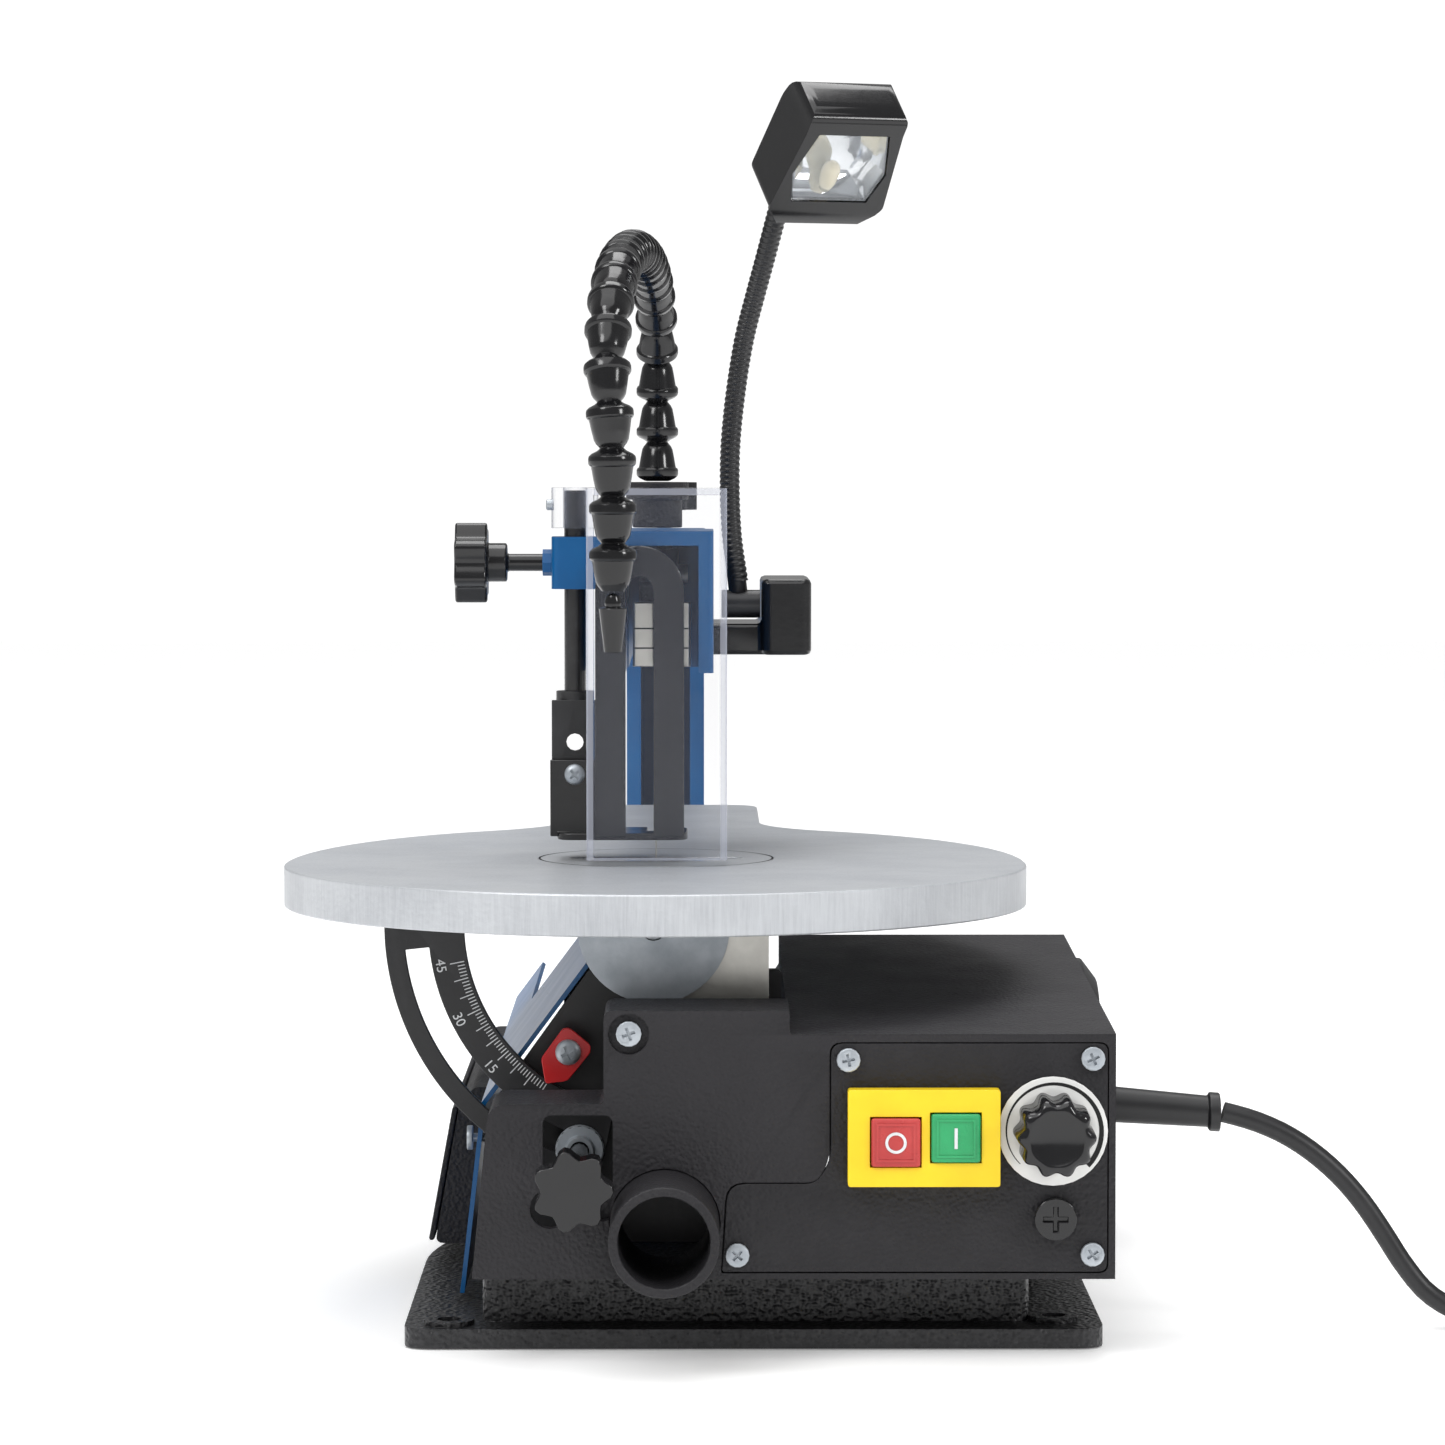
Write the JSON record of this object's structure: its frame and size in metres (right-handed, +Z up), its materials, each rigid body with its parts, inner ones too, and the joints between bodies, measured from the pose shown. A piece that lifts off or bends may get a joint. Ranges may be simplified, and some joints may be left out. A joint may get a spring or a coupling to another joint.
{
  "type": "scroll saw",
  "caption": "Bench scroll saw with a blue C frame, tilting round table, clear blade guard, hold-down, jointed air hose, gooseneck lamp, switch panel and dust port.",
  "frame": {"origin": "on the underside of the base, straight below the blade", "axes": "+X to the operator's right, +Y back from the operator along the arm, +Z up"},
  "size_m": [0.511, 0.654, 0.4189],
  "materials": {
    "blue_paint": "glossy blue enamel",
    "black_casting": "black hammer finish on cast iron",
    "black_sheet": "satin black painted steel",
    "black_plastic": "leather-grained black plastic",
    "gloss_black": "glossy black plastic",
    "neck_black": "black coiled steel gooseneck",
    "table_zinc": "fine brushed light grey metal",
    "zinc": "zinc plated steel",
    "steel": "bright steel",
    "yellow_plastic": "bright yellow plastic",
    "red_plastic": "red plastic",
    "green_plastic": "green plastic",
    "red_paint": "red painted steel",
    "dial_white": "white printed plate",
    "clear": "clear moulded sheet",
    "cord_black": "black flexible sheath"
  },
  "bodies": {
    "machine": {"base_casting": "black_casting", "lower_housing": "black_plastic", "control_cover": "black_plastic", "cover_screw_1": "zinc", "cover_screw_2": "zinc", "cover_screw_3": "zinc", "cover_screw_4": "zinc", "housing_screw": "zinc", "dust_port": "black_plastic", "switch_bezel": "yellow_plastic", "speed_dial_plate": "dial_white", "side_cover": "blue_paint", "side_cover_screw": "zinc", "storage_box": "black_plastic", "c_frame": "blue_paint", "upper_pivot_pin": "steel", "lower_pivot_pin": "steel", "motor": "black_sheet", "trunnion_support": "steel", "trunnion_pin": "steel", "front_bracket": "black_casting", "rear_bracket": "black_casting", "tilt_pointer": "red_paint", "air_pump": "black_plastic", "lamp_base": "gloss_black", "strain_relief": "cord_black", "power_cord": "cord_black", "cord_coil": "cord_black", "mains_plug": "cord_black"},
    "table": {"table_top": "table_zinc", "table_insert": "table_zinc", "front_trunnion": "zinc", "rear_trunnion": "zinc", "tilt_scale": "black_sheet"},
    "tilt_lock": {"tilt_lock_knob": "gloss_black"},
    "speed_control": {"speed_knob": "gloss_black"},
    "stop_key": {"stop_button": "red_plastic"},
    "start_key": {"start_button": "green_plastic"},
    "fuse_holder_cap": {"fuse_cap": "gloss_black"},
    "storage_door": {"storage_lid": "black_plastic"},
    "lower_rocker": {"lower_arm": "black_casting", "lower_clamp": "steel"},
    "upper_rocker": {"upper_arm": "black_casting", "upper_clamp": "steel"},
    "blade": {"saw_blade": "steel"},
    "drive_rod": {"connecting_rod": "steel"},
    "crank": {"crank_shaft": "steel"},
    "tension": {"tension_rod": "zinc"},
    "tension_nut": {"tension_knob": "gloss_black"},
    "hold_down": {"hold_down_rod": "steel", "hold_down_bracket": "black_sheet", "hold_down_foot": "gloss_black", "finger_bow": "black_sheet"},
    "hold_down_lock": {"hold_down_knob": "gloss_black"},
    "guard": {"blade_guard": "clear"},
    "hose": {"air_hose": "gloss_black"},
    "nozzle": {"air_nozzle": "gloss_black"},
    "neck": {"lamp_neck": "neck_black"},
    "lamp": {"lamp_head": "gloss_black", "lamp_lens": "clear"}
  },
  "joints": [
    {"name": "table_tilt", "type": "hinge", "parent": "machine", "child": "table", "pos_m": [0, 0, 0.134], "axis": [0, -1, 0], "range_deg": [0, 45]},
    {"name": "hold_down_slide", "type": "slide", "parent": "machine", "child": "hold_down", "axis": [0, 0, 1], "range_m": [0, 0.033]},
    {"name": "guard_swing", "type": "hinge", "parent": "hold_down", "child": "guard", "pos_m": [-0.028, -0.004, 0.27], "axis": [0, 0, -1], "range_deg": [0, 60]},
    {"name": "hold_down_lock_turn", "type": "hinge", "parent": "machine", "child": "hold_down_lock", "pos_m": [-0.06, -0.004, 0.252], "axis": [1, 0, 0], "range_deg": [-360, 0]},
    {"name": "tilt_lock_turn", "type": "hinge", "parent": "machine", "child": "tilt_lock", "pos_m": [-0.02467, -0.18, 0.05895], "axis": [0, 1, 0], "range_deg": [-360, 0]},
    {"name": "speed_turn", "type": "hinge", "parent": "machine", "child": "speed_control", "pos_m": [0.1279, -0.16, 0.074], "axis": [0, 1, 0], "range_deg": [0, 270]},
    {"name": "stop_press", "type": "slide", "parent": "machine", "child": "stop_key", "axis": [0, 1, 0], "range_m": [0, 0.003], "stiffness_N_per_m": 300},
    {"name": "start_press", "type": "slide", "parent": "machine", "child": "start_key", "axis": [0, 1, 0], "range_m": [0, 0.003], "stiffness_N_per_m": 300},
    {"name": "fuse_turn", "type": "hinge", "parent": "machine", "child": "fuse_holder_cap", "pos_m": [0.1287, -0.156, 0.046], "axis": [0, 1, 0], "range_deg": [-90, 0]},
    {"name": "storage_open", "type": "hinge", "parent": "machine", "child": "storage_door", "pos_m": [-0.08, 0.1, 0.014], "axis": [0, -1, 0], "range_deg": [0, 80]},
    {"name": "lower_arm_rock", "type": "hinge", "parent": "machine", "child": "lower_rocker", "pos_m": [0, 0.42, 0.093], "axis": [-1, 0, 0], "range_deg": [-1.02, 1.02]},
    {"name": "upper_arm_rock", "type": "hinge", "parent": "machine", "child": "upper_rocker", "pos_m": [0, 0.42, 0.238], "axis": [-1, 0, 0], "range_deg": [-1.02, 1.02]},
    {"name": "blade_slide", "type": "slide", "parent": "machine", "child": "blade", "axis": [0, 0, 1], "range_m": [-0.0075, 0.0075]},
    {"name": "tension_slide", "type": "slide", "parent": "machine", "child": "tension", "axis": [0, 0, 1], "range_m": [-0.0005, 0.0005]},
    {"name": "tension_turn", "type": "hinge", "parent": "tension", "child": "tension_nut", "pos_m": [0, 0.445, 0.27], "axis": [0, 0, 1], "range_deg": [-360, 0]},
    {"name": "drive_rod_swing", "type": "hinge", "parent": "lower_rocker", "child": "drive_rod", "pos_m": [0.01, 0.12, 0.097], "axis": [1, 0, 0], "range_deg": [-5, 5]},
    {"name": "crank_spin", "type": "hinge", "parent": "machine", "child": "crank", "pos_m": [0.02, 0.12, 0.066], "axis": [1, 0, 0], "continuous": true},
    {"name": "hose_swivel", "type": "hinge", "parent": "machine", "child": "hose", "pos_m": [-0.001, 0.181, 0.279], "axis": [0, 0, 1], "range_deg": [-25, 8]},
    {"name": "nozzle_tilt", "type": "hinge", "parent": "hose", "child": "nozzle", "pos_m": [-0.0135, -0.084, 0.2408], "axis": [1, 0, 0], "range_deg": [-20, 20]},
    {"name": "lamp_neck_tilt", "type": "hinge", "parent": "machine", "child": "neck", "pos_m": [0.03, 0.052, 0.236], "axis": [1, 0, 0], "range_deg": [-20, 35]},
    {"name": "lamp_head_tilt", "type": "hinge", "parent": "neck", "child": "lamp", "pos_m": [0.04366, 0.03608, 0.3787], "axis": [1, 0, 0], "range_deg": [-12, 12]}
  ],
  "couplings": [
    {"joint": "hold_down_slide", "follows": "table_tilt", "m_per_rad": 0.0407},
    {"joint": "upper_arm_rock", "follows": "lower_arm_rock", "ratio": 1},
    {"joint": "blade_slide", "follows": "lower_arm_rock", "m_per_rad": 0.42},
    {"joint": "tension_slide", "follows": "lower_arm_rock", "m_per_rad": -0.025}
  ]
}
